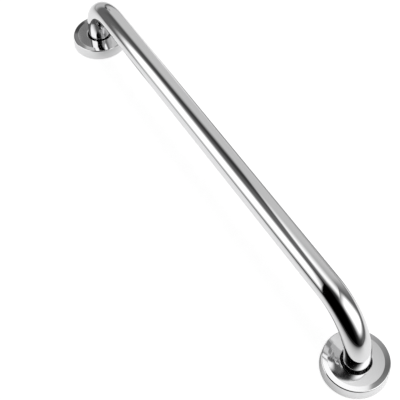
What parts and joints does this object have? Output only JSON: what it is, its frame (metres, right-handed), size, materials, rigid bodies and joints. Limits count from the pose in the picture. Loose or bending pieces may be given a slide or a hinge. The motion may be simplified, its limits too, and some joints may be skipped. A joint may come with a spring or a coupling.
{
  "type": "grab bar",
  "caption": "Straight wall grab bar: a mirror-polished steel tube bent down at each end to a screwed plate, hidden by a round cover that slides up the leg.",
  "frame": {"origin": "on the wall plane, midway between the two legs", "axes": "+X along the grip, +Y across it in the wall plane, +Z out of the wall"},
  "size_m": [0.564, 0.064, 0.0815],
  "materials": {
    "polished_rail": "stainless steel tube, mirror-polished",
    "polished_cover": "drawn stainless steel sheet, mirror-polished",
    "satin_plate": "stainless steel plate, as rolled"
  },
  "bodies": {
    "bar": {"grab_rail": "polished_rail", "right_mounting_plate": "satin_plate", "left_mounting_plate": "satin_plate"},
    "right_cover": {"right_cover": "polished_cover"},
    "left_cover": {"left_cover": "polished_cover"}
  },
  "joints": [
    {"name": "right_cover_slide", "type": "slide", "parent": "bar", "child": "right_cover", "axis": [0, 0, 1], "range_m": [0, 0.015]},
    {"name": "left_cover_slide", "type": "slide", "parent": "bar", "child": "left_cover", "axis": [0, 0, 1], "range_m": [0, 0.015]}
  ]
}
